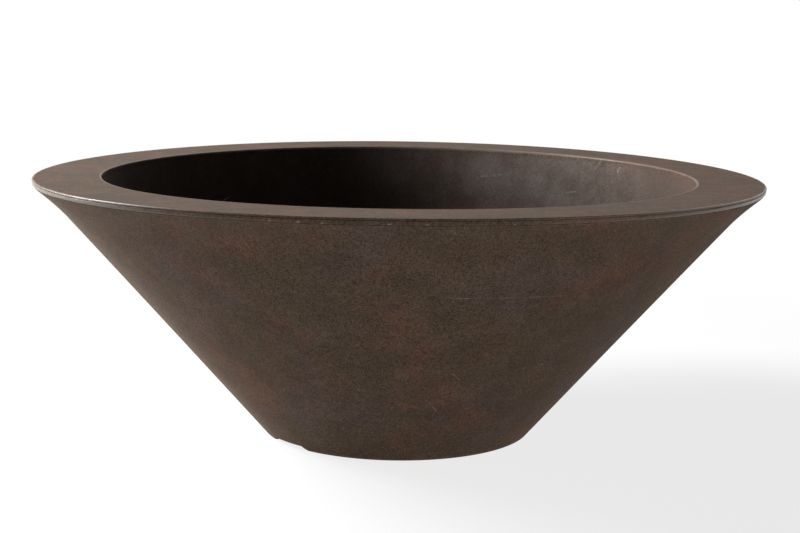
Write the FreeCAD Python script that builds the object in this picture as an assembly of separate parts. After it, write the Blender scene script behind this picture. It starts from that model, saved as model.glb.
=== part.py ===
import FreeCAD
import Part
import math
import os

from FreeCAD import Vector

# Bowl planter: a conical outer shell, a drop-in liner whose broad flat rim covers the shell,
# and pull-out drain plugs in the liner's floor.
# Millimetres, +Z up, origin on the floor at the centre of the foot.

# Overall sizes
rim_diameter = 600.0
rim_width = 55.0
foot_diameter = 224.0
height = 216.0

# Outer shell: a straight cone that flares a little under the rim
shell_wall = 4.0
shell_floor = 4.0
flare_drop = 16.0           # height below the rim's seat where the wall starts to turn outwards
flare_outset = 4.5          # how far the flare carries the lip beyond the straight cone
flare_radius = 150.0
shell_lip_round = 0.3
shell_floor_round = 8.0

# Foot of the shell: a ring round a recess, with a notch that lets drained water out
foot_recess = 8.0
foot_width = 8.0
foot_round = 2.0
foot_inner_round = 1.0
recess_round = 3.0
drain_diameter = 20.0
notch_width = 40.0
notch_height = 3.6
notch_round = 3.0
notch_azimuth = 219.5       # degrees from +X
sump_height = 10.0          # space for drained water between the two floors

# Rim and liner, one moulding
rim_thickness = 5.0
rim_edge_draft = 0.6        # how far the rim's edge leans in from its top to its underside
rim_overhang = 0.6          # how far the edge's foot stands out beyond the shell's lip
rim_top_round = 1.6
rim_under_round = 2.4
mouth_round = 5.0
liner_wall = 3.5
liner_gap = 3.0             # space between the liner's cone and the shell's
collar_draft = 13.0         # degrees from upright
knee_radius = 25.0
liner_floor_round = 18.0

# Locating skirt under the rim, which centres the liner in the shell's mouth
skirt_length = 10.0
skirt_thickness = 2.5
skirt_clearance = 0.6
skirt_round = 0.8

# Gussets under the rim, between the collar and the skirt
gusset_count = 8
gusset_thickness = 2.2
gusset_depth = 20.0

# Drain plugs: a ring of them and one in the middle
ring_plug_count = 4
plug_circle_radius = 72.0
plug_hole_diameter = 24.0
plug_clearance = 0.25
plug_taper = 0.8
plug_reach = 5.0            # how far the stem stands out under the liner's floor
plug_flange_diameter = 38.0
plug_flange_thickness = 4.0
plug_flange_round = 1.5
plug_core_diameter = 15.0
plug_core_depth = 9.0
plug_neck_diameter = 11.0
plug_head_diameter = 19.0
plug_neck_height = 5.0
plug_head_height = 6.0
plug_head_round = 2.0
plug_neck_round = 1.5
plug_foot_round = 1.0
plug_lip_round = 0.5

# Heights and radii that follow from the sizes above
rim_radius = rim_diameter / 2
mouth_radius = rim_radius - rim_width
foot_radius = foot_diameter / 2
seat_height = height - rim_thickness
rim_under_radius = rim_radius - rim_edge_draft
lip_radius = rim_under_radius - rim_overhang
shell_floor_top = foot_recess + shell_floor
liner_floor_bottom = shell_floor_top + sump_height
liner_floor_top = liner_floor_bottom + liner_wall
wall_slope = (lip_radius - flare_outset - foot_radius) / seat_height
flare_height = seat_height - flare_drop
flare_corner_radius = foot_radius + wall_slope * flare_height
full_turn = 360.0
quarter_turn = full_turn / 4
plug_step = full_turn / ring_plug_count
gusset_step = full_turn / gusset_count


def at(radius, z):
    """A point of a profile, which lies in the XZ plane."""
    return Vector(radius, 0, z)


def moved_aside(start, end, distance):
    """The line from start to end moved to its left, seen with X to the right and Z up."""
    along = (end - start).normalize()
    aside = Vector(-along.z, 0, along.x) * distance
    return start + aside, end + aside


def crossing(first, second):
    """Where two lines of the profile plane meet."""
    (a, b), (c, d) = first, second
    u, v, w = b - a, d - c, c - a
    share = (w.x * v.z - w.z * v.x) / (u.x * v.z - u.z * v.x)
    return a + u * share


def level(z):
    """A level line of the profile plane."""
    return at(0, z), at(1, z)


def rounded_face(corners):
    """A face in the profile plane from (point, rounding radius) corners."""
    edges = []
    tangents = []
    for index, (here, radius) in enumerate(corners):
        before = corners[index - 1][0]
        after = corners[(index + 1) % len(corners)][0]
        back = (before - here).normalize()
        on = (after - here).normalize()
        if radius == 0:
            tangents.append((here, here))
            continue
        half_angle = back.getAngle(on) / 2
        setback = radius / math.tan(half_angle)
        middle_way = (back + on).normalize()
        middle = here + middle_way * (radius / math.sin(half_angle) - radius)
        begin = here + back * setback
        end = here + on * setback
        edges.append(Part.Arc(begin, middle, end).toShape())
        tangents.append((begin, end))
    for index, (begin, end) in enumerate(tangents):
        next_begin = tangents[(index + 1) % len(tangents)][0]
        edges.append(Part.LineSegment(end, next_begin).toShape())
    return Part.Face(Part.Wire(Part.__sortEdges__(edges)))


def turned(corners):
    """A solid of revolution about Z."""
    return rounded_face(corners).revolve(Vector(0, 0, 0), Vector(0, 0, 1), full_turn)


def around(solid, azimuths):
    """Copies of a solid turned about Z."""
    copies = []
    for azimuth in azimuths:
        copy = solid.copy()
        copy.rotate(Vector(0, 0, 0), Vector(0, 0, 1), azimuth)
        copies.append(copy)
    return copies


# Lines that the shell and the liner share
foot_corner = at(foot_radius, 0)
flare_corner = at(flare_corner_radius, flare_height)
lip_corner = at(lip_radius, seat_height)
wall_inside = moved_aside(foot_corner, flare_corner, shell_wall)
lip_inside = moved_aside(flare_corner, lip_corner, shell_wall)
lip_inner_corner = crossing(lip_inside, level(seat_height))


def drain_notch():
    """Cutter for an arched notch through the foot ring, pointing along +X."""
    half = notch_width / 2
    reach = foot_width + foot_recess
    outline = [
        (Vector(half, 0, -notch_height), 0),
        (Vector(half, 0, notch_height), notch_round),
        (Vector(-half, 0, notch_height), notch_round),
        (Vector(-half, 0, -notch_height), 0),
    ]
    cutter = rounded_face(outline).extrude(Vector(0, 2 * reach, 0))
    cutter.rotate(Vector(0, 0, 0), Vector(0, 0, 1), -quarter_turn)
    cutter.translate(Vector(foot_radius - reach, 0, 0))
    return cutter


def outer_shell():
    """Cone, flared lip, floor with its drain, and the foot ring with its notch."""
    drain_radius = drain_diameter / 2
    foot_inside = moved_aside(foot_corner, flare_corner, foot_width * math.cos(math.atan(wall_slope)))
    corners = [
        (foot_corner, foot_round),
        (flare_corner, flare_radius),
        (lip_corner, shell_lip_round),
        (lip_inner_corner, shell_lip_round),
        (crossing(wall_inside, lip_inside), flare_radius + shell_wall),
        (crossing(wall_inside, level(shell_floor_top)), shell_floor_round),
        (at(drain_radius, shell_floor_top), 0),
        (at(drain_radius, foot_recess), 0),
        (crossing(foot_inside, level(foot_recess)), recess_round),
        (crossing(foot_inside, level(0)), foot_inner_round),
    ]
    return turned(corners).cut(around(drain_notch(), [notch_azimuth])).removeSplitter()


def collar_lines():
    """Inner faces of the liner's collar and cone, and the same faces moved out by its wall."""
    mouth_edge = at(mouth_radius, height)
    draft = math.radians(collar_draft)
    collar = (mouth_edge - Vector(math.sin(draft), 0, math.cos(draft)), mouth_edge)
    cone_outside = moved_aside(*wall_inside, liner_gap)
    cone = moved_aside(*wall_inside, liner_gap + liner_wall)
    collar_outside = moved_aside(*collar, -liner_wall)
    return collar, cone, collar_outside, cone_outside


def skirt_corners():
    """Corners of the locating skirt, which hangs inside the shell's lip and follows its slope."""
    outside = moved_aside(flare_corner, lip_corner, shell_wall + skirt_clearance)
    inside = moved_aside(flare_corner, lip_corner, shell_wall + skirt_clearance + skirt_thickness)
    tip_level = level(seat_height - skirt_length)
    return [
        (crossing(inside, level(seat_height)), skirt_round),
        (crossing(inside, tip_level), skirt_round),
        (crossing(outside, tip_level), skirt_round),
        (crossing(outside, level(seat_height)), 0),
    ]


def rim_gusset():
    """One gusset between the collar and the skirt, pointing along +X."""
    _, _, collar_outside, _ = collar_lines()
    skirt = skirt_corners()
    inward = Vector(-liner_wall / 2, 0, 0)
    buried = Vector(0, 0, rim_thickness / 2)
    points = [
        crossing(collar_outside, level(seat_height)) + inward + buried,
        skirt[0][0] + buried,
        (skirt[1][0] + skirt[2][0]) / 2 + Vector(0, 0, skirt_round),
        crossing(collar_outside, level(seat_height - gusset_depth)) + inward,
    ]
    gusset = Part.Face(Part.makePolygon(points + points[:1])).extrude(Vector(0, gusset_thickness, 0))
    gusset.translate(Vector(0, -gusset_thickness / 2, 0))
    return gusset


def at_plugs(solid):
    """Copies of a solid that stands on the axis: one at each ring plug, then one in the middle."""
    moved = solid.copy()
    moved.translate(Vector(plug_circle_radius, 0, 0))
    azimuths = [plug_step * (index + 0.5) for index in range(ring_plug_count)]
    return around(moved, azimuths) + [solid]


def rim_liner():
    """Flat rim, collar, cone and floor in one moulding, with drain holes, skirt and gussets."""
    collar, cone, collar_outside, cone_outside = collar_lines()
    corners = [
        (at(rim_radius, height), rim_top_round),
        (at(mouth_radius, height), mouth_round),
        (crossing(collar, cone), knee_radius),
        (crossing(cone, level(liner_floor_top)), liner_floor_round),
        (at(0, liner_floor_top), 0),
        (at(0, liner_floor_bottom), 0),
        (crossing(cone_outside, level(liner_floor_bottom)), liner_floor_round + liner_wall),
        (crossing(collar_outside, cone_outside), knee_radius + liner_wall),
        (crossing(collar_outside, level(seat_height)), mouth_round - liner_wall),
        *skirt_corners(),
        (at(rim_under_radius, seat_height), rim_under_round),
    ]
    gussets = around(rim_gusset(), [gusset_step * (index + 0.5) for index in range(gusset_count)])
    hole = Part.makeCylinder(plug_hole_diameter / 2, 2 * liner_wall)
    hole.translate(Vector(0, 0, liner_floor_bottom - liner_wall / 2))
    liner = turned(corners).fuse(gussets)
    return liner.cut(at_plugs(hole)).removeSplitter()


def drain_plug():
    """One rubber plug at the axis: grip, flange that lies on the floor, cored tapering stem."""
    stem_radius = plug_hole_diameter / 2 - plug_clearance
    flange_top = liner_floor_top + plug_flange_thickness
    neck_top = flange_top + plug_neck_height
    head_top = neck_top + plug_head_height
    foot = liner_floor_bottom - plug_reach
    core_radius = plug_core_diameter / 2
    corners = [
        (at(0, head_top), 0),
        (at(0, foot + plug_core_depth), 0),
        (at(core_radius, foot + plug_core_depth), plug_foot_round),
        (at(core_radius, foot), plug_lip_round),
        (at(stem_radius - plug_taper, foot), plug_foot_round),
        (at(stem_radius, liner_floor_top), 0),
        (at(plug_flange_diameter / 2, liner_floor_top), plug_lip_round),
        (at(plug_flange_diameter / 2, flange_top), plug_flange_round),
        (at(plug_neck_diameter / 2, flange_top), plug_neck_round),
        (at(plug_neck_diameter / 2, neck_top), plug_neck_round),
        (at(plug_head_diameter / 2, neck_top), plug_head_round),
        (at(plug_head_diameter / 2, head_top), plug_head_round),
    ]
    return turned(corners)


def drain_plugs():
    """The plugs in their holes, by node name."""
    plugs = at_plugs(drain_plug())
    return {f"drain_plug_{number}": plug for number, plug in enumerate(plugs, start=1)}


def main():
    """Build every piece and write one STEP file for each."""
    pieces = {"outer_shell": outer_shell(), "rim_liner": rim_liner(), **drain_plugs()}
    os.makedirs("parts", exist_ok=True)
    for name, shape in pieces.items():
        shape.exportStep(f"parts/{name}.step")
        print(name, len(shape.Solids), "solid", shape.isValid(), round(shape.Volume), "mm3")


main()
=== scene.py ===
import logging
import math
from collections.abc import Callable, Mapping, Sequence
from dataclasses import dataclass, field, replace
from enum import Enum

import bmesh
import bpy
from mathutils import Matrix, Vector


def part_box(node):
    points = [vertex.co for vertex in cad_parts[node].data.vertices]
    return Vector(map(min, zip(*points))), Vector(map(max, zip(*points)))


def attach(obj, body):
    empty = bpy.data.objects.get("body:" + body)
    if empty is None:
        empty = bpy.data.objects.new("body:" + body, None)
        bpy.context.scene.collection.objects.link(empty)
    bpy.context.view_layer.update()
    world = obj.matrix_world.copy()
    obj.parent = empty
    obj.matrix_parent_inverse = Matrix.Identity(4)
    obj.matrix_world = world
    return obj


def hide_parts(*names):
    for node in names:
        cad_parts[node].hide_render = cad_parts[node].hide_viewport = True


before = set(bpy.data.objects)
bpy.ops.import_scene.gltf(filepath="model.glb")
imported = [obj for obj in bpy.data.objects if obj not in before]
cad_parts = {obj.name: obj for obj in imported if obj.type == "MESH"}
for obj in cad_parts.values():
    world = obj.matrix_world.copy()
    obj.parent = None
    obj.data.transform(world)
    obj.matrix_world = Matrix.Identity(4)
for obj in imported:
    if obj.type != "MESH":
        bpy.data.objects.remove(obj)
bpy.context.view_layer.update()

LOG = logging.getLogger("bowl_planter")
MM = 0.001
MERGE_DISTANCE = 0.001 * MM
UP = Vector((0.0, 0.0, 1.0))
ORIGIN = Vector((0.0, 0.0, 0.0))

Line = tuple[Vector, Vector]
Colour = tuple[float, float, float, float]
Socket = bpy.types.NodeSocket


class Body(str, Enum):
    """The rigid bodies that the pieces ride on."""

    SHELL = "shell"
    LINER = "liner"
    PLUG = "plug"


class Slot(str, Enum):
    """The names of the pieces' material slots, listed here only."""

    SHELL = "shell_plastic"
    LINER = "liner_plastic"
    PLUG = "plug_rubber"


def at(radius: float, height: float) -> Vector:
    """A point of a turned profile, which lies in the XZ plane."""
    return Vector((radius, 0.0, height))


def level(height: float) -> Line:
    """A level line of the profile plane."""
    return at(0.0, height), at(1.0, height)


def moved_aside(line: Line, distance: float) -> Line:
    """Move a line of the profile plane to its left, seen with X to the right and Z up.

    Args:
        line: Start and end of the line.
        distance: How far to move it, in metres; a negative distance moves it to the right.

    Returns:
        The moved line.
    """
    along = (line[1] - line[0]).normalized()
    aside = Vector((-along.z, 0.0, along.x)) * distance
    return line[0] + aside, line[1] + aside


def crossing(first: Line, second: Line) -> Vector:
    """Find where two lines of the profile plane meet.

    Args:
        first: One line.
        second: The other line, not parallel to the first.

    Returns:
        The point that lies on both.
    """
    run, other_run = first[1] - first[0], second[1] - second[0]
    apart = second[0] - first[0]
    share = (apart.x * other_run.z - apart.z * other_run.x) / (run.x * other_run.z - run.z * other_run.x)
    return first[0] + run * share


def smooth_step(value: float, start: float, end: float) -> float:
    """Rise smoothly from 0 at start to 1 at end."""
    share = min(max((value - start) / (end - start), 0.0), 1.0)
    return share * share * (3.0 - 2.0 * share)


@dataclass(frozen=True)
class Corner:
    """One corner of a turned profile, with the radius that rounds it."""

    place: Vector
    rounding: float = 0.0
    segments: int = 6


@dataclass(frozen=True)
class TurnedProfile:
    """A closed outline in the XZ plane that is spun about Z.

    Attributes:
        corners: The outline's corners in order.
        steps: How many facets go round.
        longest_run: Straight stretches are divided until none is longer than this.
    """

    corners: Sequence[Corner]
    steps: int
    longest_run: float

    def spun(self) -> bmesh.types.BMesh:
        """Round the corners, divide the long stretches and spin the outline into a closed skin."""
        skin = bmesh.new()
        points = [skin.verts.new(corner.place) for corner in self.corners]
        for first, second in zip(points, points[1:] + points[:1]):
            skin.edges.new((first, second))
        for index, corner in enumerate(self.corners):
            if corner.rounding > 0.0:
                bmesh.ops.bevel(skin, geom=[points[index]], offset=self._setback(index), offset_type="OFFSET",
                                affect="VERTICES", segments=corner.segments, profile=0.5, material=-1)
        for edge in list(skin.edges):
            cuts = math.ceil(edge.calc_length() / self.longest_run) - 1
            if cuts > 0:
                bmesh.ops.subdivide_edges(skin, edges=[edge], cuts=cuts)
        bmesh.ops.spin(skin, geom=skin.verts[:] + skin.edges[:], cent=ORIGIN, axis=UP, dvec=ORIGIN,
                       angle=math.tau, steps=self.steps, use_merge=True, use_duplicate=False)
        bmesh.ops.remove_doubles(skin, verts=skin.verts, dist=MERGE_DISTANCE)
        bmesh.ops.recalc_face_normals(skin, faces=skin.faces)
        return skin

    def _setback(self, index: int) -> float:
        """Distance from a corner to where its rounding starts."""
        here = self.corners[index].place
        back = self.corners[index - 1].place - here
        onward = self.corners[(index + 1) % len(self.corners)].place - here
        return self.corners[index].rounding / math.tan(back.angle(onward) / 2.0)


def finished_piece(name: str, skin: bmesh.types.BMesh, material: bpy.types.Material) -> bpy.types.Object:
    """Turn a skin into an object with smooth faces, crisp edges and one material.

    Args:
        name: Name of the piece.
        skin: Its mesh, which is freed.
        material: Its finish.

    Returns:
        The object, linked to the scene at the origin.
    """
    crisp_angle = math.radians(38.0)
    mesh = bpy.data.meshes.new(name)
    skin.to_mesh(mesh)
    skin.free()
    mesh.shade_smooth()
    mesh.set_sharp_from_angle(angle=crisp_angle)
    mesh.materials.append(material)
    piece = bpy.data.objects.new(name, mesh)
    bpy.context.scene.collection.objects.link(piece)
    shading = piece.modifiers.new("even_shading", "WEIGHTED_NORMAL")
    shading.keep_sharp = True
    return piece


def cut_away(piece: bpy.types.Object, cutters: Sequence[bpy.types.Object]) -> None:
    """Cut solids out of a piece for good and remove them.

    Args:
        piece: The piece to cut.
        cutters: Closed solids that are taken away from it.
    """
    for cutter in cutters:
        cut = piece.modifiers.new(f"cut_{cutter.name}", "BOOLEAN")
        cut.operation = "DIFFERENCE"
        cut.solver = "EXACT"
        cut.object = cutter
    shading = piece.modifiers["even_shading"]
    shading.show_viewport = False
    bpy.context.view_layer.update()
    evaluated = piece.evaluated_get(bpy.context.evaluated_depsgraph_get())
    old_mesh = piece.data
    piece.data = bpy.data.meshes.new_from_object(evaluated)
    piece.data.name = piece.name
    shading.show_viewport = True
    for cutter in cutters:
        piece.modifiers.remove(piece.modifiers[f"cut_{cutter.name}"])
        cutter_mesh = cutter.data
        bpy.data.objects.remove(cutter)
        bpy.data.meshes.remove(cutter_mesh)
    bpy.data.meshes.remove(old_mesh)


def upright_plate(skin: bmesh.types.BMesh, outline: Sequence[Vector], thickness: float,
                  azimuth: float) -> None:
    """Add a flat upright plate to a skin, in the plane through the axis at an azimuth.

    Args:
        skin: The mesh that gets the plate.
        outline: Corners of the plate in the XZ plane.
        thickness: Thickness across the plane.
        azimuth: Angle about Z, in radians.
    """
    half = Vector((0.0, thickness / 2.0, 0.0))
    face = skin.faces.new([skin.verts.new(point - half) for point in outline])
    grown = bmesh.ops.extrude_face_region(skin, geom=[face])["geom"]
    far_side = [item for item in grown if isinstance(item, bmesh.types.BMVert)]
    bmesh.ops.translate(skin, verts=far_side, vec=half * 2.0)
    plate = list(face.verts) + far_side
    faces = {neighbour for vert in plate for neighbour in vert.link_faces}
    bmesh.ops.recalc_face_normals(skin, faces=list(faces))
    bmesh.ops.rotate(skin, verts=plate, cent=ORIGIN, matrix=Matrix.Rotation(azimuth, 3, "Z"))


@dataclass(frozen=True)
class BowlLines:
    """The lines that the shell and the liner share, taken from the frame and a few wall sizes in metres."""

    rim_radius: float
    height: float
    seat_height: float
    liner_floor_bottom: float
    rim_width: float = 55.0 * MM
    rim_edge_draft: float = 0.6 * MM
    rim_overhang: float = 0.6 * MM
    foot_radius: float = 112.0 * MM
    shell_wall: float = 4.0 * MM
    liner_wall: float = 3.5 * MM
    liner_gap: float = 3.0 * MM
    flare_drop: float = 16.0 * MM
    flare_outset: float = 4.5 * MM
    flare_radius: float = 150.0 * MM
    collar_draft: float = math.radians(13.0)
    sag: float = 1.4 * MM

    @classmethod
    def from_frame(cls) -> "BowlLines":
        """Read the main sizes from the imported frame."""
        liner_low, liner_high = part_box("rim_liner")
        _, shell_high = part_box("outer_shell")
        return cls(rim_radius=liner_high[0], height=liner_high[2], seat_height=shell_high[2],
                   liner_floor_bottom=liner_low[2])

    @property
    def mouth_radius(self) -> float:
        """Radius of the mouth at the rim's top."""
        return self.rim_radius - self.rim_width

    @property
    def slope(self) -> float:
        """How much the outer wall's radius grows for each metre of height."""
        return (self.lip.x - self.flare_outset - self.foot_radius) / self.seat_height

    @property
    def foot(self) -> Vector:
        """Outer corner of the foot."""
        return at(self.foot_radius, 0.0)

    @property
    def flare(self) -> Vector:
        """Where the wall turns outwards under the rim."""
        height = self.seat_height - self.flare_drop
        return at(self.foot_radius + self.slope * height, height)

    @property
    def lip(self) -> Vector:
        """Outer corner of the shell's lip."""
        return self.rim_under - Vector((self.rim_overhang, 0.0, 0.0))

    @property
    def rim_under(self) -> Vector:
        """Lower corner of the rim's edge, which leans in a little below the top."""
        return at(self.rim_radius - self.rim_edge_draft, self.seat_height)

    @property
    def wall(self) -> Line:
        """The outer wall's straight stretch."""
        return self.foot, self.flare

    @property
    def lip_run(self) -> Line:
        """The flared stretch under the rim."""
        return self.flare, self.lip

    def sagged(self, skin: bmesh.types.BMesh) -> None:
        """Let the rim sag a little at the left and right and rise at the front and back.

        Args:
            skin: The mesh to bend in place.
        """
        for vert in skin.verts:
            azimuth = math.atan2(vert.co.y, vert.co.x)
            reach = math.hypot(vert.co.x, vert.co.y) / self.rim_radius
            rise = max(vert.co.z, 0.0) / self.height
            vert.co.z -= self.sag * math.cos(2.0 * azimuth) * reach**2 * rise**2


class NodeSheet:
    """A node tree with short ways to add nodes and join them."""

    def __init__(self, tree: bpy.types.NodeTree) -> None:
        """Take the tree that the nodes go into."""
        self.tree = tree

    def add(self, kind: str, inputs: Mapping[str | int, object] | None = None,
            **settings: object) -> bpy.types.Node:
        """Add a node.

        Args:
            kind: The node's type name without its ShaderNode prefix.
            inputs: Values or sockets for its inputs, by name or index.
            **settings: Properties of the node.

        Returns:
            The new node.
        """
        node = self.tree.nodes.new(f"ShaderNode{kind}")
        for name, value in settings.items():
            setattr(node, name, value)
        for key, value in (inputs or {}).items():
            self.feed(node.inputs[key], value)
        return node

    def feed(self, target: Socket, value: object) -> None:
        """Set an input to a value, or link a socket to it."""
        if isinstance(value, bpy.types.NodeSocket):
            self.tree.links.new(value, target)
        else:
            target.default_value = value

    def math(self, operation: str, *values: object) -> Socket:
        """Add a Math node on values or sockets and give its result."""
        return self.add("Math", dict(enumerate(values)), operation=operation).outputs[0]

    def vector(self, operation: str, *values: object) -> bpy.types.Node:
        """Add a Vector Math node on values or sockets."""
        return self.add("VectorMath", dict(enumerate(values)), operation=operation)

    def fade(self, value: Socket, start: float | Socket, end: float | Socket,
             low: float = 0.0, high: float = 1.0) -> Socket:
        """Rise smoothly from low at start to high at end."""
        inputs = {"Value": value, "From Min": start, "From Max": end, "To Min": low, "To Max": high}
        return self.add("MapRange", inputs, interpolation_type="SMOOTHSTEP").outputs[0]

    def spread(self, value: Socket, low: float, high: float) -> Socket:
        """Stretch a value from 0 and 1 to low and high."""
        return self.add("MapRange", {"Value": value, "To Min": low, "To Max": high}).outputs[0]

    def blend(self, factor: object, first: object, second: object) -> Socket:
        """Mix two colours by a factor."""
        first_colour, second_colour, result_colour = 6, 7, 2
        inputs = {"Factor": factor, first_colour: first, second_colour: second}
        return self.add("Mix", inputs, data_type="RGBA").outputs[result_colour]

    def noise(self, coordinates: Socket, scale: object, detail: float = 2.0, roughness: float = 0.5,
              distortion: float = 0.0) -> Socket:
        """Add a Noise Texture and give its value."""
        inputs = {"Vector": coordinates, "Scale": scale, "Detail": detail, "Roughness": roughness,
                  "Distortion": distortion}
        return self.add("TexNoise", inputs).outputs[0]


@dataclass(frozen=True)
class Effect:
    """A shared surface effect, kept as one shader node group.

    Attributes:
        name: Name of the group.
        inputs: Input names with their default values; a tuple makes a vector input.
        outputs: Names of the values that it puts out.
        draw: Draws the group's nodes, given its sheet and its inputs, and returns the outputs by name.
    """

    name: str
    inputs: Mapping[str, object]
    outputs: Sequence[str]
    draw: Callable[[NodeSheet, Mapping[str, Socket]], Mapping[str, Socket]]

    def group(self) -> bpy.types.NodeTree:
        """Give the effect's node group, and make it the first time."""
        known = bpy.data.node_groups.get(self.name)
        if known is not None:
            return known
        tree = bpy.data.node_groups.new(self.name, "ShaderNodeTree")
        for name, default in self.inputs.items():
            kind = "NodeSocketVector" if isinstance(default, tuple) else "NodeSocketFloat"
            socket = tree.interface.new_socket(name, in_out="INPUT", socket_type=kind)
            socket.default_value = default
        for name in self.outputs:
            tree.interface.new_socket(name, in_out="OUTPUT", socket_type="NodeSocketFloat")
        sheet = NodeSheet(tree)
        entry = tree.nodes.new("NodeGroupInput")
        leave = tree.nodes.new("NodeGroupOutput")
        results = self.draw(sheet, {name: entry.outputs[name] for name in self.inputs})
        for name, socket in results.items():
            sheet.feed(leave.inputs[name], socket)
        return tree

    def place(self, sheet: NodeSheet, inputs: Mapping[str, object]) -> Mapping[str, Socket]:
        """Put the effect into a material.

        Args:
            sheet: The material's sheet.
            inputs: Values or sockets for the effect's inputs.

        Returns:
            Its outputs by name.
        """
        node = sheet.tree.nodes.new("ShaderNodeGroup")
        node.node_tree = self.group()
        for name, value in inputs.items():
            sheet.feed(node.inputs[name], value)
        return {name: node.outputs[name] for name in self.outputs}


def draw_mottling(sheet: NodeSheet, given: Mapping[str, Socket]) -> Mapping[str, Socket]:
    """Draw soft patches of a warmer and a cooler tint, and slow changes of depth."""
    cool_shift = (3.1, 1.7, 0.6)
    depth_shift = (-2.3, 4.9, 1.2)
    depth_fineness = 2.6
    place = given["Vector"]
    shifted = sheet.vector("ADD", place, cool_shift).outputs[0]
    further = sheet.vector("ADD", place, depth_shift).outputs[0]
    warm = sheet.noise(place, given["Scale"], detail=4.0, roughness=0.6, distortion=0.5)
    cool = sheet.noise(shifted, given["Scale"], detail=4.0, roughness=0.6, distortion=0.5)
    depth_scale = sheet.math("MULTIPLY", given["Scale"], depth_fineness)
    depth = sheet.noise(further, depth_scale, detail=5.0, roughness=0.62)
    return {"Warm": sheet.fade(warm, 0.47, 0.68), "Cool": sheet.fade(cool, 0.48, 0.68),
            "Depth": sheet.fade(depth, 0.28, 0.72)}


def draw_speckle(sheet: NodeSheet, given: Mapping[str, Socket]) -> Mapping[str, Socket]:
    """Draw a fine grain and a few pale flecks."""
    coarse_share = 0.2
    coarse_fineness = 0.36
    fleck_fineness = 0.22
    bare_share = 0.996
    place = given["Vector"]
    fine = sheet.noise(place, given["Scale"], detail=2.0, roughness=0.7)
    coarse = sheet.noise(place, sheet.math("MULTIPLY", given["Scale"], coarse_fineness), detail=2.0)
    grain = sheet.math("ADD", sheet.math("MULTIPLY", fine, 1.0 - coarse_share),
                       sheet.math("MULTIPLY", coarse, coarse_share))
    fleck_scale = sheet.math("MULTIPLY", given["Scale"], fleck_fineness)
    cells = sheet.add("TexVoronoi", {"Vector": place, "Scale": fleck_scale})
    chance = sheet.add("SeparateColor", {"Color": cells.outputs["Color"]}).outputs[0]
    spot = sheet.fade(cells.outputs["Distance"], 0.24, 0.08)
    fleck = sheet.math("MULTIPLY", spot, sheet.math("GREATER_THAN", chance, bare_share))
    return {"Grain": sheet.fade(grain, 0.3, 0.7), "Fleck": fleck}


def length_of(sheet: NodeSheet, first: Socket, second: Socket) -> Socket:
    """Give the length of the diagonal of two lengths at right angles."""
    squares = [sheet.math("POWER", side, 2.0) for side in (first, second)]
    return sheet.math("SQRT", sheet.math("ADD", *squares))


def draw_edge_wear_and_highlight(sheet: NodeSheet, given: Mapping[str, Socket]) -> Mapping[str, Socket]:
    """Draw wear along a round edge, broken up by noise, all round or stronger at the left and right sides; on
    the liner's edges this pale mark is also a painted highlight where the lights catch the edge.
    """
    wear_scale = 55.0
    side_sharpness = 4.0
    parts = sheet.add("SeparateXYZ", {"Vector": given["Vector"]})
    radius = length_of(sheet, parts.outputs[0], parts.outputs[1])
    across = sheet.math("SUBTRACT", radius, given["Radius"])
    upwards = sheet.math("SUBTRACT", parts.outputs[2], given["Height"])
    away = length_of(sheet, across, upwards)
    uneven = sheet.spread(sheet.noise(given["Vector"], wear_scale, detail=5.0, roughness=0.65), 0.25, 1.75)
    reach = sheet.math("MULTIPLY", given["Reach"], uneven)
    # Painted highlight: the pale edge is kept to the left and right sides, where the lights catch it.
    sideways = sheet.math("ABSOLUTE", sheet.math("DIVIDE", parts.outputs[0], radius))
    on_lit_sides = sheet.math("POWER", sideways, sheet.math("MULTIPLY", given["Lit Sides"], side_sharpness))
    return {"Wear And Highlight": sheet.math("MULTIPLY", sheet.fade(away, reach, 0.0), on_lit_sides)}


def facing_outwards(sheet: NodeSheet, parts: bpy.types.Node, normal: Socket) -> Socket:
    """Measure how far a face looks away from the bowl's axis.

    Args:
        sheet: Node tree to draw in.
        parts: Node with the place's X, Y and Z as outputs.
        normal: Direction that the face looks in.

    Returns:
        1 where it looks straight outwards, -1 where it looks at the axis.
    """
    flat = sheet.add("CombineXYZ", {"X": parts.outputs[0], "Y": parts.outputs[1]}).outputs[0]
    outwards = sheet.vector("NORMALIZE", flat).outputs[0]
    return sheet.vector("DOT_PRODUCT", outwards, normal).outputs["Value"]


def draw_inner_veil_and_shade(sheet: NodeSheet, given: Mapping[str, Socket]) -> Mapping[str, Socket]:
    """Draw a pale veil on the inner faces, partly dust and partly a painted sheen, its clouds, which clear at
    the right, and painted shade that darkens the inside further below the mouth.
    """
    cloud_scale = 24.0
    upward_share = 0.5
    clouds_end = (0.84, 0.97)
    parts = sheet.add("SeparateXYZ", {"Vector": given["Vector"]})
    radius = length_of(sheet, parts.outputs[0], parts.outputs[1])
    inside = sheet.math("SUBTRACT", given["Radius"], radius)
    facing_out = facing_outwards(sheet, parts, given["Normal"])
    facing_up = sheet.add("SeparateXYZ", {"Vector": given["Normal"]}).outputs[2]
    lifted = sheet.math("MULTIPLY", facing_up, upward_share)
    inner = sheet.fade(sheet.math("SUBTRACT", lifted, facing_out), 0.0, 0.2)
    near = sheet.math("MULTIPLY", sheet.fade(inside, 0.0, given["Softness"]), inner)
    clouds = sheet.fade(sheet.noise(given["Vector"], cloud_scale, detail=6.0, roughness=0.66), 0.36, 0.66)
    # Painted shade: darker the further below the mouth.
    below = sheet.math("SUBTRACT", given["Height"], parts.outputs[2])
    painted_shade = sheet.math("MULTIPLY", near, sheet.fade(below, 0.0, given["Depth"]))
    rightwards = sheet.math("DIVIDE", parts.outputs[0], radius)
    cloudy = sheet.fade(rightwards, *clouds_end, low=1.0, high=0.0)
    return {"Veil": near, "Clouds": sheet.math("MULTIPLY", clouds, cloudy), "Painted Shade": painted_shade}


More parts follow.
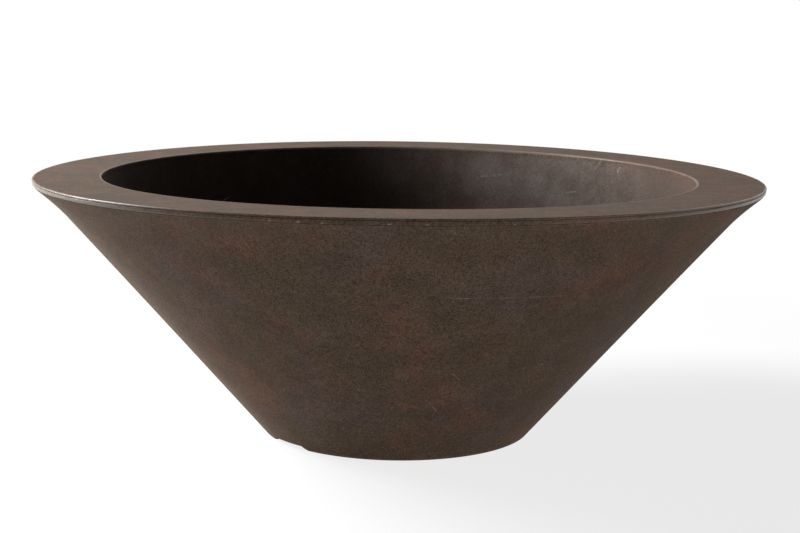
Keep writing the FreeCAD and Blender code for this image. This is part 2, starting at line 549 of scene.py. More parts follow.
def draw_dust_and_shade_on_tops(sheet: NodeSheet, given: Mapping[str, Socket]) -> Mapping[str, Socket]:
    """Draw a dark grey film in clouds and small clumps on faces that look up: dust, and painted shade that
    darkens these faces.
    """
    cloud_scale = 17.0
    clump_scale = 90.0
    upward = sheet.add("SeparateXYZ", {"Vector": given["Normal"]}).outputs[2]
    drifts = sheet.noise(given["Vector"], cloud_scale, detail=6.0, roughness=0.65)
    clouds = sheet.fade(drifts, 0.3, 0.7, low=0.6)
    clumps = sheet.fade(sheet.noise(given["Vector"], clump_scale, detail=4.0, roughness=0.75), 0.42, 0.58)
    dust = sheet.math("MULTIPLY", clouds, clumps)
    return {"Dust And Shade": sheet.math("MULTIPLY", sheet.fade(upward, 0.6, 0.97), dust)}


def draw_scuff(sheet: NodeSheet, given: Mapping[str, Socket]) -> Mapping[str, Socket]:
    """Draw one straight scuff on one side of a wall, from one azimuth and height to another."""
    break_scale = 260.0
    parts = sheet.add("SeparateXYZ", {"Vector": given["Vector"]})
    forward = sheet.math("MULTIPLY", parts.outputs[1], -1.0)
    azimuth = sheet.math("ARCTAN2", parts.outputs[0], forward)
    along_wall = sheet.math("MULTIPLY", azimuth, given["Radius"])
    here = sheet.add("CombineXYZ", {"X": along_wall, "Y": parts.outputs[2]}).outputs[0]
    run = sheet.vector("SUBTRACT", given["End"], given["Start"]).outputs[0]
    offset = sheet.vector("SUBTRACT", here, given["Start"]).outputs[0]
    dot = sheet.vector("DOT_PRODUCT", offset, run).outputs["Value"]
    length = sheet.vector("DOT_PRODUCT", run, run).outputs["Value"]
    share = sheet.add("Clamp", {"Value": sheet.math("DIVIDE", dot, length)}).outputs[0]
    nearest = sheet.vector("SCALE", run)
    sheet.feed(nearest.inputs["Scale"], share)
    gap = sheet.vector("SUBTRACT", offset, nearest.outputs[0]).outputs[0]
    away = sheet.vector("LENGTH", gap).outputs["Value"]
    broken = sheet.fade(sheet.noise(given["Vector"], break_scale, detail=3.0, roughness=0.7), 0.36, 0.6)
    line = sheet.fade(away, given["Half Width"], 0.0)
    facing_out = facing_outwards(sheet, parts, given["Normal"])
    this_side = sheet.fade(sheet.math("MULTIPLY", facing_out, given["Facing"]), 0.0, 0.2)
    return {"Mark": sheet.math("MULTIPLY", sheet.math("MULTIPLY", line, broken), this_side)}


def draw_relief(sheet: NodeSheet, given: Mapping[str, Socket]) -> Mapping[str, Socket]:
    """Draw the height of a moulded surface: fine grain on slow waves."""
    wave_share = 0.45
    wave_fineness = 0.12
    fine = sheet.noise(given["Vector"], given["Scale"], detail=3.0, roughness=0.6)
    waves = sheet.noise(given["Vector"], sheet.math("MULTIPLY", given["Scale"], wave_fineness), detail=2.0)
    grain_height = sheet.math("MULTIPLY", fine, 1.0 - wave_share)
    return {"Height": sheet.math("ADD", grain_height, sheet.math("MULTIPLY", waves, wave_share))}


PLACE = (0.0, 0.0, 0.0)
MOTTLING = Effect("mottling", {"Vector": PLACE, "Scale": 14.0}, ("Warm", "Cool", "Depth"), draw_mottling)
SPECKLE = Effect("speckle", {"Vector": PLACE, "Scale": 900.0}, ("Grain", "Fleck"), draw_speckle)
EDGE_WEAR_AND_HIGHLIGHT = Effect("edge_wear_and_highlight", {"Vector": PLACE, "Radius": 0.3, "Height": 0.2, "Reach": 0.003, "Lit Sides": 0.0},
                   ("Wear And Highlight",), draw_edge_wear_and_highlight)
INNER_VEIL_AND_SHADE = Effect("inner_veil_and_shade", {"Vector": PLACE, "Normal": PLACE, "Radius": 0.24, "Softness": 0.004,
                                   "Height": 0.2, "Depth": 0.06},
                    ("Veil", "Clouds", "Painted Shade"), draw_inner_veil_and_shade)
DUST_AND_SHADE_ON_TOPS = Effect("dust_and_shade_on_tops", {"Vector": PLACE, "Normal": PLACE}, ("Dust And Shade",), draw_dust_and_shade_on_tops)
SCUFF = Effect("scuff", {"Vector": PLACE, "Normal": PLACE, "Radius": 0.2, "Start": PLACE, "End": PLACE,
                         "Half Width": 0.0005, "Facing": 1.0},
               ("Mark",), draw_scuff)
RELIEF = Effect("moulded_relief", {"Vector": PLACE, "Scale": 700.0}, ("Height",), draw_relief)


class Facing(Enum):
    """Side of a wall that a scuff is on."""

    OUTWARDS = 1.0
    INWARDS = -1.0


@dataclass(frozen=True)
class ScuffMark:
    """A pale rub on a wall.

    Attributes:
        start: Azimuth in degrees to the right of the front, and height in millimetres.
        end: Azimuth and height of the other end.
        radius: Radius of the wall there, in millimetres.
        half_width: Half its width, in millimetres.
        strength: How pale it is, from 0 to 1.
        facing: Side of the wall that it is on.
    """

    start: tuple[float, float]
    end: tuple[float, float]
    radius: float
    half_width: float
    strength: float
    facing: Facing = Facing.OUTWARDS

    def inputs(self, place: Socket, normal: Socket) -> Mapping[str, object]:
        """Give the scuff effect's inputs in metres along the wall."""
        ends = [(math.radians(azimuth) * self.radius * MM, height * MM, 0.0)
                for azimuth, height in (self.start, self.end)]
        return {"Vector": place, "Normal": normal, "Radius": self.radius * MM, "Start": ends[0],
                "End": ends[1], "Half Width": self.half_width * MM, "Facing": self.facing.value}


@dataclass(frozen=True)
class WornAndHighlitRing:
    """A round edge that has worn pale or glossy; on the liner's edges the pale colour is also a painted
    highlight.

    Attributes:
        radius: Radius of the edge, in metres.
        height: Height of the edge, in metres.
        reach: How far the wear reaches from it, in metres.
        pale: How pale it has become, from 0 to 1: wear, and on the liner's edges a painted highlight as well.
        polish: How glossy it has become, from 0 to 1.
        lit_sides: 0 for wear all round, 1 for a pale edge only at the left and right, which is a painted
            highlight where the lights catch the rim's edges.
    """

    radius: float
    height: float
    reach: float
    pale: float
    polish: float = 0.0
    lit_sides: float = 0.0

    def inputs(self, place: Socket) -> Mapping[str, object]:
        """Give the ring wear effect's inputs."""
        return {"Vector": place, "Radius": self.radius, "Height": self.height, "Reach": self.reach,
                "Lit Sides": self.lit_sides}


@dataclass(frozen=True)
class SpeckledPlastic:
    """Matt dark brown plastic, mottled, with a fine speckle, worn edges that can carry painted highlights, a
    few scuffs, a dark film of dust and painted shade on faces that look up, and inside a veil of dust and
    painted sheen with painted shade lower down.
    """

    name: str
    base: Colour = (0.071, 0.0482, 0.0326, 1.0)
    warm: Colour = (0.103, 0.049, 0.034, 1.0)
    cool: Colour = (0.074, 0.051, 0.046, 1.0)
    worn_and_highlight: Colour = (0.24, 0.195, 0.17, 1.0)
    pale: Colour = (0.30, 0.27, 0.24, 1.0)
    dust_and_sheen_film: Colour = (0.074, 0.0555, 0.0455, 1.0)
    cloudy: Colour = (0.117, 0.097, 0.088, 1.0)
    veil: float = 0.9
    top_dust_and_shade_tint: Colour = (0.040, 0.036, 0.034, 1.0)
    top_dust_and_shade: float = 0.75
    veil_edge: Vector | None = None
    veil_softness: float = 2.0 * MM
    painted_shade_depth: float = 55.0 * MM
    painted_shade: float = 0.45
    rings: Sequence[WornAndHighlitRing] = ()
    scuffs: Sequence[ScuffMark] = ()
    roughness: float = 0.78
    shine_roughness: float = 0.3
    specular: float = 0.06
    dust: float = 0.08
    dust_tint: Colour = (0.90, 0.70, 0.55, 1.0)
    dust_spread: float = 0.4
    mottling_scale: float = 15.0
    speckle_scale: float = 950.0
    warm_share: float = 0.55
    cool_share: float = 0.6
    fleck_share: float = 0.35
    depth_tones: tuple[float, float] = (0.86, 1.14)
    grain_tones: tuple[float, float] = (0.3, 1.7)
    film_tones: tuple[float, float] = (0.7, 1.3)
    smoother: float = 0.05
    rougher: float = 0.06
    relief_scale: float = 620.0
    relief_strength: float = 0.6
    relief_depth: float = 0.35 * MM

    @staticmethod
    def _scaled(sheet: NodeSheet, colour: object, share: Socket) -> Socket:
        """Make a colour lighter or darker by a share."""
        scale = sheet.vector("SCALE", colour)
        sheet.feed(scale.inputs["Scale"], share)
        return scale.outputs[0]

    def material(self) -> bpy.types.Material:
        """Make the material."""
        material = bpy.data.materials.new(self.name)
        material.use_nodes = True
        sheet = NodeSheet(material.node_tree)
        shader = material.node_tree.nodes["Principled BSDF"]
        coordinates = sheet.add("TexCoord").outputs
        place = coordinates["Object"]
        mottling = MOTTLING.place(sheet, {"Vector": place, "Scale": self.mottling_scale})
        speckle = SPECKLE.place(sheet, {"Vector": place, "Scale": self.speckle_scale})
        colour = sheet.blend(sheet.math("MULTIPLY", mottling["Warm"], self.warm_share), self.base, self.warm)
        colour = sheet.blend(sheet.math("MULTIPLY", mottling["Cool"], self.cool_share), colour, self.cool)
        tone = sheet.math("MULTIPLY", sheet.spread(mottling["Depth"], *self.depth_tones),
                          sheet.spread(speckle["Grain"], *self.grain_tones))
        colour = self._scaled(sheet, colour, tone)
        colour = sheet.blend(sheet.math("MULTIPLY", speckle["Fleck"], self.fleck_share), colour, self.pale)
        # Faces that look up get a dark grey film: dust, and painted shade that tones them down.
        top_dust_and_shade = DUST_AND_SHADE_ON_TOPS.place(sheet, {"Vector": place, "Normal": coordinates["Normal"]})["Dust And Shade"]
        colour = sheet.blend(sheet.math("MULTIPLY", top_dust_and_shade, self.top_dust_and_shade), colour, self.top_dust_and_shade_tint)
        if self.veil_edge is not None:
            inside = INNER_VEIL_AND_SHADE.place(sheet, {"Vector": place, "Normal": coordinates["Normal"],
                                              "Radius": self.veil_edge.x, "Height": self.veil_edge.z,
                                              "Softness": self.veil_softness, "Depth": self.painted_shade_depth})
            # Inner veil: dust, and a painted sheen over the inner faces.
            film = sheet.blend(inside["Clouds"], self.dust_and_sheen_film, self.cloudy)
            film = self._scaled(sheet, film, sheet.spread(speckle["Grain"], *self.film_tones))
            colour = sheet.blend(sheet.math("MULTIPLY", inside["Veil"], self.veil), colour, film)
            # Painted shade: the inside darkens further below the mouth.
            colour = self._scaled(sheet, colour, sheet.spread(inside["Painted Shade"], 1.0, 1.0 - self.painted_shade))
        gloss = sheet.spread(speckle["Grain"], self.roughness - self.smoother, self.roughness + self.rougher)
        shine = 0.0
        for ring in self.rings:
            # Pale edge colour: wear, and on the liner's edges also a painted highlight.
            wear_and_highlight = EDGE_WEAR_AND_HIGHLIGHT.place(sheet, ring.inputs(place))["Wear And Highlight"]
            colour = sheet.blend(sheet.math("MULTIPLY", wear_and_highlight, ring.pale), colour, self.worn_and_highlight)
            if ring.polish > 0.0:
                shine = sheet.math("MAXIMUM", shine, sheet.math("MULTIPLY", wear_and_highlight, ring.polish))
        for scuff in self.scuffs:
            mark = SCUFF.place(sheet, scuff.inputs(place, coordinates["Normal"]))["Mark"]
            colour = sheet.blend(sheet.math("MULTIPLY", mark, scuff.strength), colour, self.pale)
        height = RELIEF.place(sheet, {"Vector": place, "Scale": self.relief_scale})["Height"]
        bump = sheet.add("Bump", {"Height": height, "Strength": self.relief_strength,
                                  "Distance": self.relief_depth})
        sheet.feed(shader.inputs["Base Color"], colour)
        sheet.feed(shader.inputs["Roughness"], gloss)
        sheet.feed(shader.inputs["Normal"], bump.outputs["Normal"])
        sheet.feed(shader.inputs["Coat Weight"], shine)
        shader.inputs["Coat Roughness"].default_value = self.shine_roughness
        shader.inputs["Specular IOR Level"].default_value = self.specular
        shader.inputs["Sheen Weight"].default_value = self.dust
        shader.inputs["Sheen Tint"].default_value = self.dust_tint
        shader.inputs["Sheen Roughness"].default_value = self.dust_spread
        return material


@dataclass(frozen=True)
class PlugRubber:
    """Dull black rubber with a dusty bloom."""

    name: str = "plug_rubber"
    black: Colour = (0.020, 0.018, 0.016, 1.0)
    bloom: Colour = (0.048, 0.043, 0.038, 1.0)
    specular: float = 0.15
    roughness: tuple[float, float] = (0.62, 0.8)
    mottling_scale: float = 90.0
    speckle_scale: float = 1500.0
    fleck_share: float = 0.4
    relief_scale: float = 1400.0
    relief_strength: float = 0.3
    relief_depth: float = 0.15 * MM

    def material(self) -> bpy.types.Material:
        """Make the material."""
        material = bpy.data.materials.new(self.name)
        material.use_nodes = True
        sheet = NodeSheet(material.node_tree)
        shader = material.node_tree.nodes["Principled BSDF"]
        place = sheet.add("TexCoord").outputs["Object"]
        mottling = MOTTLING.place(sheet, {"Vector": place, "Scale": self.mottling_scale})
        speckle = SPECKLE.place(sheet, {"Vector": place, "Scale": self.speckle_scale})
        colour = sheet.blend(mottling["Depth"], self.black, self.bloom)
        colour = sheet.blend(sheet.math("MULTIPLY", speckle["Fleck"], self.fleck_share), colour, self.bloom)
        height = RELIEF.place(sheet, {"Vector": place, "Scale": self.relief_scale})["Height"]
        bump = sheet.add("Bump", {"Height": height, "Strength": self.relief_strength,
                                  "Distance": self.relief_depth})
        sheet.feed(shader.inputs["Base Color"], colour)
        sheet.feed(shader.inputs["Roughness"], sheet.spread(mottling["Depth"], *self.roughness))
        shader.inputs["Specular IOR Level"].default_value = self.specular
        sheet.feed(shader.inputs["Normal"], bump.outputs["Normal"])
        return material


@dataclass
class OuterShell:
    """The conical outer moulding: flared wall, floor with a drain, and notched foot ring."""

    lines: BowlLines
    steps: int = 288
    longest_run: float = 11.0 * MM
    floor_thickness: float = 4.0 * MM
    floor_round: float = 8.0 * MM
    lip_round: float = 0.3 * MM
    drain_radius: float = 10.0 * MM
    drain_round: float = 0.5 * MM
    foot_recess: float = 8.0 * MM
    foot_width: float = 8.0 * MM
    foot_round: float = 2.0 * MM
    foot_inner_round: float = 1.0 * MM
    recess_round: float = 3.0 * MM
    notch_azimuth: float = math.radians(219.5)
    notch_half_angle: float = math.radians(10.2)
    notch_ramp: float = math.radians(2.2)
    notch_height: float = 3.6 * MM

    def profile(self) -> TurnedProfile:
        """Outline of the shell from the foot up the outside and down the inside."""
        lines = self.lines
        inside = moved_aside(lines.wall, lines.shell_wall)
        lip_inside = moved_aside(lines.lip_run, lines.shell_wall)
        foot_inside = moved_aside(lines.wall, self.foot_width * math.cos(math.atan(lines.slope)))
        floor_top = self.foot_recess + self.floor_thickness
        return TurnedProfile([
            Corner(lines.foot, self.foot_round),
            Corner(lines.flare, lines.flare_radius, segments=10),
            Corner(lines.lip, self.lip_round, segments=3),
            Corner(crossing(lip_inside, level(lines.seat_height)), self.lip_round, segments=3),
            Corner(crossing(inside, lip_inside), lines.flare_radius + lines.shell_wall, segments=10),
            Corner(crossing(inside, level(floor_top)), self.floor_round),
            Corner(at(self.drain_radius, floor_top), self.drain_round, segments=3),
            Corner(at(self.drain_radius, self.foot_recess), self.drain_round, segments=3),
            Corner(crossing(foot_inside, level(self.foot_recess)), self.recess_round),
            Corner(crossing(foot_inside, level(0.0)), self.foot_inner_round),
        ], self.steps, self.longest_run)

    def notched(self, skin: bmesh.types.BMesh) -> None:
        """Raise the foot's edge along the wall where the drain notch is.

        Args:
            skin: The shell's mesh, changed in place.
        """
        edge_height = self.foot_round
        for vert in skin.verts:
            if vert.co.z > edge_height:
                continue
            azimuth = math.atan2(vert.co.y, vert.co.x)
            apart = abs((azimuth - self.notch_azimuth + math.pi) % math.tau - math.pi)
            lift = smooth_step(self.notch_half_angle - apart, -self.notch_ramp / 2, self.notch_ramp / 2)
            outwards = Vector((vert.co.x, vert.co.y, 0.0)).normalized()
            vert.co += (outwards * self.lines.slope + UP) * lift * self.notch_height

    def build(self, material: bpy.types.Material) -> bpy.types.Object:
        """Make the shell and let it stand for its node."""
        skin = self.profile().spun()
        self.notched(skin)
        self.lines.sagged(skin)
        piece = finished_piece("shell_moulding", skin, material)
        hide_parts("outer_shell")
        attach(piece, Body.SHELL.value)
        return piece


@dataclass
class RimLiner:
    """The drop-in moulding: flat rim, collar, cone, drained floor, locating skirt and gussets."""

    lines: BowlLines
    plug_places: Sequence[Vector]
    steps: int = 288
    longest_run: float = 11.0 * MM
    rim_top_round: float = 0.8 * MM
    rim_under_round: float = 2.0 * MM
    groove_drop: float = 1.5 * MM
    groove_width: float = 0.9 * MM
    groove_depth: float = 0.8 * MM
    groove_round: float = 0.2 * MM
    mouth_round: float = 1.5 * MM
    collar_root_round: float = 1.5 * MM
    knee_radius: float = 25.0 * MM
    floor_round: float = 18.0 * MM
    hole_radius: float = 12.0 * MM
    hole_round: float = 0.4 * MM
    hole_facets: int = 64
    skirt_length: float = 10.0 * MM
    skirt_thickness: float = 2.5 * MM
    skirt_clearance: float = 0.6 * MM
    skirt_round: float = 0.8 * MM
    gusset_count: int = 8
    gusset_thickness: float = 2.2 * MM
    gusset_depth: float = 20.0 * MM

    def collar(self) -> Line:
        """Inner face of the collar below the mouth."""
        edge = at(self.lines.mouth_radius, self.lines.height)
        draft = self.lines.collar_draft
        return edge - at(math.sin(draft), math.cos(draft)), edge

    def skirt(self) -> list[Vector]:
        """Corners of the locating skirt, from its inner root round its tip to its outer root."""
        lines = self.lines
        outside = moved_aside(lines.lip_run, lines.shell_wall + self.skirt_clearance)
        inside = moved_aside(outside, self.skirt_thickness)
        seat, tip = level(lines.seat_height), level(lines.seat_height - self.skirt_length)
        pairs = (inside, seat), (inside, tip), (outside, tip), (outside, seat)
        return [crossing(face, end) for face, end in pairs]

    def edge_groove(self) -> list[Corner]:
        """Corners of the fine groove under the rim's top edge, from below upwards."""
        edge = self.lines.rim_under, at(self.lines.rim_radius, self.lines.height)
        middle = self.lines.height - self.groove_drop
        inwards = Vector((-self.groove_depth, 0.0, 0.0))
        return [
            Corner(crossing(edge, level(middle - self.groove_width / 2)), self.groove_round, segments=3),
            Corner(crossing(edge, level(middle)) + inwards, self.groove_round, segments=3),
            Corner(crossing(edge, level(middle + self.groove_width / 2)), self.groove_round, segments=3),
        ]

    def profile(self) -> TurnedProfile:
        """Outline of the liner from the rim's edge down the inside and up the outside."""
        lines = self.lines
        cone_outside = moved_aside(lines.wall, lines.shell_wall + lines.liner_gap)
        cone = moved_aside(cone_outside, lines.liner_wall)
        collar = self.collar()
        collar_outside = moved_aside(collar, -lines.liner_wall)
        bottom = lines.liner_floor_bottom
        top = bottom + lines.liner_wall
        root_inside, tip_inside, tip_outside, root_outside = self.skirt()
        return TurnedProfile([
            Corner(at(lines.rim_radius, lines.height), self.rim_top_round, segments=6),
            Corner(at(lines.mouth_radius, lines.height), self.mouth_round, segments=8),
            Corner(crossing(collar, cone), self.knee_radius),
            Corner(crossing(cone, level(top)), self.floor_round, segments=8),
            Corner(at(self.hole_radius, top), self.hole_round, segments=3),
            Corner(at(self.hole_radius, bottom), self.hole_round, segments=3),
            Corner(crossing(cone_outside, level(bottom)), self.floor_round + lines.liner_wall, segments=8),
            Corner(crossing(collar_outside, cone_outside), self.knee_radius + lines.liner_wall),
            Corner(crossing(collar_outside, level(lines.seat_height)), self.collar_root_round),
            Corner(root_inside, self.skirt_round, segments=4),
            Corner(tip_inside, self.skirt_round, segments=4),
            Corner(tip_outside, self.skirt_round, segments=4),
            Corner(root_outside),
            Corner(lines.rim_under, self.rim_under_round, segments=5),
            *self.edge_groove(),
        ], self.steps, self.longest_run)

    def gusseted(self, skin: bmesh.types.BMesh) -> None:
        """Add the gussets between the collar and the skirt.

        Args:
            skin: The liner's mesh, changed in place.
        """
        lines = self.lines
        collar_outside = moved_aside(self.collar(), -lines.liner_wall)
        inwards = Vector((-lines.liner_wall / 2, 0.0, 0.0))
        buried = UP * (lines.height - lines.seat_height) / 2
        root_inside, tip_inside, tip_outside, _ = self.skirt()
        outline = [
            crossing(collar_outside, level(lines.seat_height)) + inwards + buried,
            root_inside + buried,
            (tip_inside + tip_outside) / 2 + UP * self.skirt_round,
            crossing(collar_outside, level(lines.seat_height - self.gusset_depth)) + inwards,
        ]
        for index in range(self.gusset_count):
            upright_plate(skin, outline, self.gusset_thickness, math.tau * (index + 0.5) / self.gusset_count)

    def hole_cutters(self) -> list[bpy.types.Object]:
        """Make a cutter for each drain hole off the axis."""
        cutters = []
        for number, place in enumerate(self.plug_places, start=1):
            if place.length < self.hole_radius:
                continue
            cutter = bmesh.new()
            middle = place + UP * (self.lines.liner_floor_bottom + self.lines.liner_wall / 2)
            bmesh.ops.create_cone(cutter, cap_ends=True, segments=self.hole_facets,
                                  radius1=self.hole_radius, radius2=self.hole_radius,
                                  depth=4 * self.lines.liner_wall,
                                  matrix=Matrix.Translation(middle))
            mesh = bpy.data.meshes.new(f"hole_{number}")
            cutter.to_mesh(mesh)
            cutter.free()
            cutters.append(bpy.data.objects.new(f"hole_{number}", mesh))
            bpy.context.scene.collection.objects.link(cutters[-1])
        return cutters

    def build(self, material: bpy.types.Material) -> bpy.types.Object:
        """Make the liner and let it stand for its node."""
        skin = self.profile().spun()
        self.gusseted(skin)
        self.lines.sagged(skin)
        piece = finished_piece("rim_and_liner_moulding", skin, material)
        cut_away(piece, self.hole_cutters())
        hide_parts("rim_liner")
        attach(piece, Body.LINER.value)
        return piece


@dataclass
class DrainPlug:
    """A rubber plug: grip, flange on the liner's floor and a cored stem through the hole."""

    number: int
    floor_top: float
    steps: int = 72
    longest_run: float = 4.0 * MM
    stem_radius: float = 11.75 * MM
    taper: float = 0.8 * MM
    flange_radius: float = 19.0 * MM
    flange_thickness: float = 4.0 * MM
    flange_round: float = 1.5 * MM
    core_radius: float = 7.5 * MM
    core_depth: float = 9.0 * MM
    neck_radius: float = 5.5 * MM
    neck_height: float = 5.0 * MM
    neck_round: float = 1.5 * MM
    head_radius: float = 9.5 * MM
    head_round: float = 2.0 * MM
    edge_round: float = 0.5 * MM
    foot_round: float = 1.0 * MM

    @property
    def node(self) -> str:
        """Name of the node that the plug stands for."""
        return f"drain_plug_{self.number}"

    def place(self) -> Vector:
        """Centre of the plug's hole on the floor plane."""
        low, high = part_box(self.node)
        return Vector(((low[0] + high[0]) / 2, (low[1] + high[1]) / 2, 0.0))

    def profile(self) -> TurnedProfile:
        """Outline of the plug from the head's top round the core, the stem, the flange and the neck."""
        low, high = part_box(self.node)
        foot, head_top = low[2], high[2]
        flange_top = self.floor_top + self.flange_thickness
        neck_top = flange_top + self.neck_height
        return TurnedProfile([
            Corner(at(0.0, head_top)),
            Corner(at(0.0, foot + self.core_depth)),
            Corner(at(self.core_radius, foot + self.core_depth), self.foot_round, segments=4),
            Corner(at(self.core_radius, foot), self.edge_round, segments=3),
            Corner(at(self.stem_radius - self.taper, foot), self.foot_round, segments=4),
            Corner(at(self.stem_radius, self.floor_top)),
            Corner(at(self.flange_radius, self.floor_top), self.edge_round, segments=3),
            Corner(at(self.flange_radius, flange_top), self.flange_round, segments=5),
            Corner(at(self.neck_radius, flange_top), self.neck_round, segments=5),
            Corner(at(self.neck_radius, neck_top), self.neck_round, segments=5),
            Corner(at(self.head_radius, neck_top), self.head_round, segments=5),
            Corner(at(self.head_radius, head_top), self.head_round, segments=6),
        ], self.steps, self.longest_run)

    def build(self, material: bpy.types.Material) -> bpy.types.Object:
        """Make the plug and let it stand for its node."""
        skin = self.profile().spun()
        collapsed = [face for face in skin.faces if face.calc_area() < MERGE_DISTANCE**2]
        bmesh.ops.delete(skin, geom=collapsed, context="FACES")
        bmesh.ops.translate(skin, verts=skin.verts, vec=self.place())
        piece = finished_piece(f"rubber_plug_{self.number}", skin, material)
        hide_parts(self.node)
        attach(piece, f"{Body.PLUG.value}_{self.number}")
        return piece


@dataclass
class Studio:
    """Pale floor, white surroundings, three soft lights and a camera at the photograph's angle."""

    picture_width: float = 800.0
    focal_pixels: float = 1641.05
    sensor_width: float = 36.0
    camera_place: Vector = field(default_factory=lambda: Vector((0.0, -1.36465, 0.35807)))
    look_down: float = math.radians(9.197)
    look_right: float = math.radians(0.064)
    roll: float = math.radians(0.753)
    floor_size: float = 40.0
    floor_white: Colour = (0.95, 0.95, 0.95, 1.0)
    background: Colour = (1.0, 1.0, 1.0, 1.0)
    floor_bounce: float = 0.32
    floor_glow: float = 0.168
    near_glow: float = 0.28
    glow_reach: tuple[float, float] = (0.12, 0.5)
    shadow_depth: float = 0.2
    shadow_reach: tuple[float, float] = (0.35, 0.95)
    covered_reach: tuple[float, float] = (0.085, 0.1)
    key_place: Vector = field(default_factory=lambda: Vector((-1.58, 0.47, 1.19)))
    key_size: tuple[float, float] = (0.9, 0.9)
    key_power: float = 101.0
    fill_place: Vector = field(default_factory=lambda: Vector((1.0, -1.62, 0.09)))
    fill_size: tuple[float, float] = (1.4, 0.16)
    fill_power: float = 14.5
    side_place: Vector = field(default_factory=lambda: Vector((-1.7, 0.2, 0.12)))
    side_size: tuple[float, float] = (0.9, 0.16)
    side_power: float = 12.0
    aim: Vector = field(default_factory=lambda: Vector((0.0, 0.0, 0.15)))
    ambient: float = 0.004

    def build(self) -> None:
        """Set up the floor, the surroundings, the lights, the camera and the view."""
        self._floor()
        self._surroundings()
        self._softbox("key_light", self.key_place, self.key_size, self.key_power)
        self._softbox("fill_light", self.fill_place, self.fill_size, self.fill_power)
        self._softbox("side_light", self.side_place, self.side_size, self.side_power)
        self._camera()
        bpy.context.scene.view_settings.view_transform = "Standard"

    def _seen_rays(self, sheet: NodeSheet) -> Socket:
        """Mask of the rays that show the background: camera, glossy and transmission rays."""
        path = sheet.add("LightPath").outputs
        seen = sheet.math("MAXIMUM", path["Is Camera Ray"], path["Is Transmission Ray"])
        return sheet.math("MAXIMUM", seen, path["Is Glossy Ray"])

    def _floor(self) -> None:
        """A plain white floor: pale shadow, dark where the foot covers it, seen through from below."""
        material = bpy.data.materials.new("studio_floor")
        material.use_nodes = True
        material.node_tree.nodes.clear()
        sheet = NodeSheet(material.node_tree)
        bounce = sheet.add("BsdfDiffuse", {"Color": (self.floor_bounce,) * 3 + (1.0,)}).outputs[0]
        place = sheet.add("TexCoord").outputs["Object"]
        away = sheet.vector("LENGTH", place).outputs["Value"]
        glow_here = sheet.fade(away, *self.glow_reach, low=self.near_glow, high=self.floor_glow)
        upward = sheet.add("Emission", {"Strength": glow_here}).outputs[0]
        lit = sheet.add("AddShader", {0: bounce, 1: upward}).outputs[0]
        white = sheet.add("BsdfDiffuse", {"Color": self.floor_white}).outputs[0]
        glow = sheet.add("Emission", {"Color": self.background, "Strength": 1.0}).outputs[0]
        uncovered = sheet.fade(away, *self.covered_reach)
        shaded = sheet.fade(away, *self.shadow_reach, low=1.0 - self.shadow_depth)
        pale = sheet.math("MULTIPLY", uncovered, shaded)
        seen = sheet.add("MixShader", {0: pale, 1: white, 2: glow}).outputs[0]
        above = sheet.add("MixShader", {0: self._seen_rays(sheet), 1: lit, 2: seen}).outputs[0]
        below = sheet.add("BsdfTransparent").outputs[0]
        from_below = sheet.add("NewGeometry").outputs["Backfacing"]
        shader = sheet.add("MixShader", {0: from_below, 1: above, 2: below}).outputs[0]
        sheet.add("OutputMaterial", {"Surface": shader})
        grid = bmesh.new()
        bmesh.ops.create_grid(grid, x_segments=1, y_segments=1, size=self.floor_size / 2)
        mesh = bpy.data.meshes.new("studio_floor")
        grid.to_mesh(mesh)
        grid.free()
        mesh.materials.append(material)
        floor = bpy.data.objects.new("studio_floor", mesh)
        bpy.context.scene.collection.objects.link(floor)

    def _surroundings(self) -> None:
        """White where the background is seen, and a low even light elsewhere."""
        world = bpy.data.worlds.new("studio_surroundings")
        world.use_nodes = True
        sheet = NodeSheet(world.node_tree)
        strength = sheet.math("MAXIMUM", self._seen_rays(sheet), self.ambient)
        background = world.node_tree.nodes["Background"]
        background.inputs["Color"].default_value = self.background
        sheet.feed(background.inputs["Strength"], strength)
        bpy.context.scene.world = world

    def _softbox(self, name: str, place: Vector, size: tuple[float, float], power: float) -> None:
        """Add an area light that faces the bowl."""
        lamp = bpy.data.lights.new(name, "AREA")
        lamp.shape = "RECTANGLE"
        lamp.size, lamp.size_y = size
        lamp.energy = power
        light = bpy.data.objects.new(name, lamp)
        light.location = place
        light.rotation_euler = (self.aim - place).to_track_quat("-Z", "Y").to_euler()
        light.visible_camera = False
        bpy.context.scene.collection.objects.link(light)

    def _camera(self) -> None:
        """Place the camera where the photograph was taken from."""
        lens = bpy.data.cameras.new("photograph_view")
        lens.sensor_fit = "HORIZONTAL"
        lens.sensor_width = self.sensor_width
        lens.lens = self.focal_pixels * self.sensor_width / self.picture_width
        camera = bpy.data.objects.new("photograph_view", lens)
        turn = Matrix.Rotation(-self.look_right, 4, "Z")
        tilt = Matrix.Rotation(math.pi / 2 - self.look_down, 4, "X")
        rolled = Matrix.Rotation(self.roll, 4, "Z")
        camera.matrix_world = Matrix.Translation(self.camera_place) @ turn @ tilt @ rolled
        bpy.context.scene.collection.objects.link(camera)
        bpy.context.scene.camera = camera


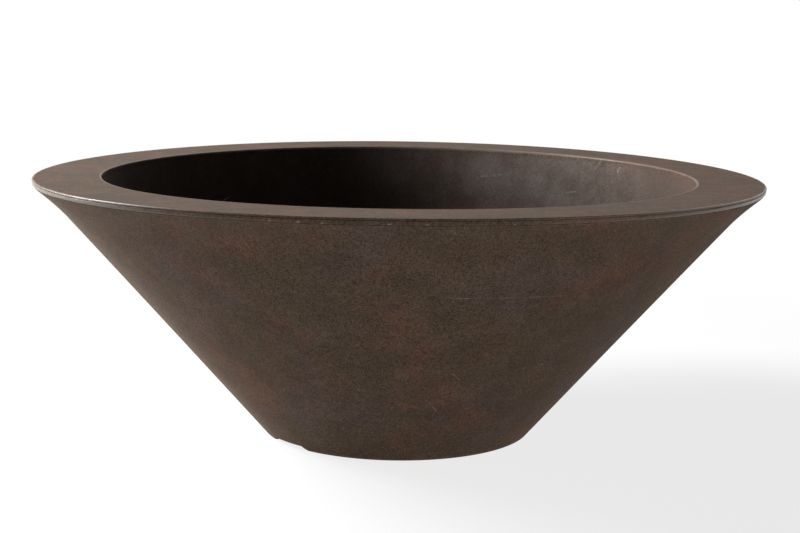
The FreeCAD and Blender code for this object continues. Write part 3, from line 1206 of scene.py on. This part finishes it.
def shell_finish(lines: BowlLines) -> SpeckledPlastic:
    """Finish of the outer shell, with the rubs that show on its wall."""
    return SpeckledPlastic(
        "shell_plastic",
        rings=(
            WornAndHighlitRing(lines.lip.x, lines.lip.z, reach=1.6 * MM, pale=0.2),
            WornAndHighlitRing(lines.foot_radius, 0.5 * MM, reach=3.0 * MM, pale=0.3),
        ),
        scuffs=(
            ScuffMark((7.5, 63.0), (11.3, 50.8), radius=161.0, half_width=0.45, strength=0.55),
            ScuffMark((11.0, 73.3), (12.7, 57.5), radius=168.0, half_width=0.4, strength=0.35),
            ScuffMark((12.7, 86.4), (15.1, 80.3), radius=184.0, half_width=0.7, strength=0.3),
            ScuffMark((7.8, 154.4), (29.7, 151.9), radius=244.0, half_width=0.6, strength=0.3),
            ScuffMark((60.7, 90.2), (60.5, 103.7), radius=196.0, half_width=1.2, strength=0.3),
            ScuffMark((29.6, 87.2), (31.9, 87.3), radius=187.0, half_width=0.8, strength=0.3),
            ScuffMark((35.3, 88.4), (35.6, 88.7), radius=188.0, half_width=1.1, strength=0.9),
        ),
    )


def liner_finish(lines: BowlLines) -> SpeckledPlastic:
    """Finish of the rim and liner, with worn edges that also carry painted highlights, nicks under the rim,
    rubs inside the mouth, and inside a veil of dust and painted sheen that darkens lower down with painted
    shade.
    """
    rubs = (
        ScuffMark((124.3, 205.0), (124.0, 209.7), radius=243.0, half_width=0.9, strength=0.7),
        ScuffMark((131.2, 206.1), (130.1, 213.0), radius=243.0, half_width=1.0, strength=0.5),
        ScuffMark((138.2, 181.4), (135.7, 183.2), radius=237.0, half_width=0.8, strength=0.4),
        ScuffMark((160.7, 190.3), (155.9, 193.2), radius=239.0, half_width=1.6, strength=0.25),
        ScuffMark((-134.0, 169.0), (-136.9, 173.2), radius=234.0, half_width=1.1, strength=1.0),
    )
    nick_azimuths = (-16.8, -13.0, -9.8, -1.3, 3.4, 14.9)
    nick_height = (lines.seat_height + lines.sag) / MM + 0.6
    nick_turn, nick_rise = 0.3, 0.5
    nicks = [ScuffMark((azimuth, nick_height), (azimuth + nick_turn, nick_height + nick_rise),
                       radius=299.0, half_width=0.9, strength=0.8) for azimuth in nick_azimuths]
    return SpeckledPlastic(
        "liner_plastic",
        # The pale colour on the rim's top and lower edges and on the mouth's edge is partly wear and partly a
        # painted highlight; on the rim's edges it is kept to the left and right, where the lights catch them.
        rings=(
            WornAndHighlitRing(lines.rim_radius - 0.2 * MM, lines.height - 0.3 * MM, reach=2.2 * MM,
                     pale=0.6, polish=1.0, lit_sides=0.5),
            WornAndHighlitRing(lines.rim_under.x, lines.seat_height + 1.4 * MM, reach=2.8 * MM,
                     pale=0.6, polish=1.0, lit_sides=0.5),
            WornAndHighlitRing(lines.mouth_radius + 0.2 * MM, lines.height - 0.5 * MM, reach=2.2 * MM,
                     pale=0.6, polish=0.2),
        ),
        veil_edge=at(lines.mouth_radius + 0.2 * MM, lines.height),
        scuffs=(*(replace(rub, facing=Facing.INWARDS) for rub in rubs), *nicks),
    )


def main() -> None:
    """Build the studio and every piece of the bowl."""
    logging.basicConfig(level=logging.INFO, format="%(name)s: %(message)s")
    lines = BowlLines.from_frame()
    floor_top = lines.liner_floor_bottom + lines.liner_wall
    plug_nodes = sorted(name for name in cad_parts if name.startswith("drain_plug_"))
    plugs = [DrainPlug(number, floor_top) for number in range(1, len(plug_nodes) + 1)]
    rubber = PlugRubber().material()
    pieces = [
        OuterShell(lines).build(shell_finish(lines).material()),
        RimLiner(lines, [plug.place() for plug in plugs]).build(liner_finish(lines).material()),
        *(plug.build(rubber) for plug in plugs),
    ]
    Studio().build()
    for piece in pieces:
        LOG.info("%s: %d faces", piece.name, len(piece.data.polygons))


if __name__ == "__main__":
    main()
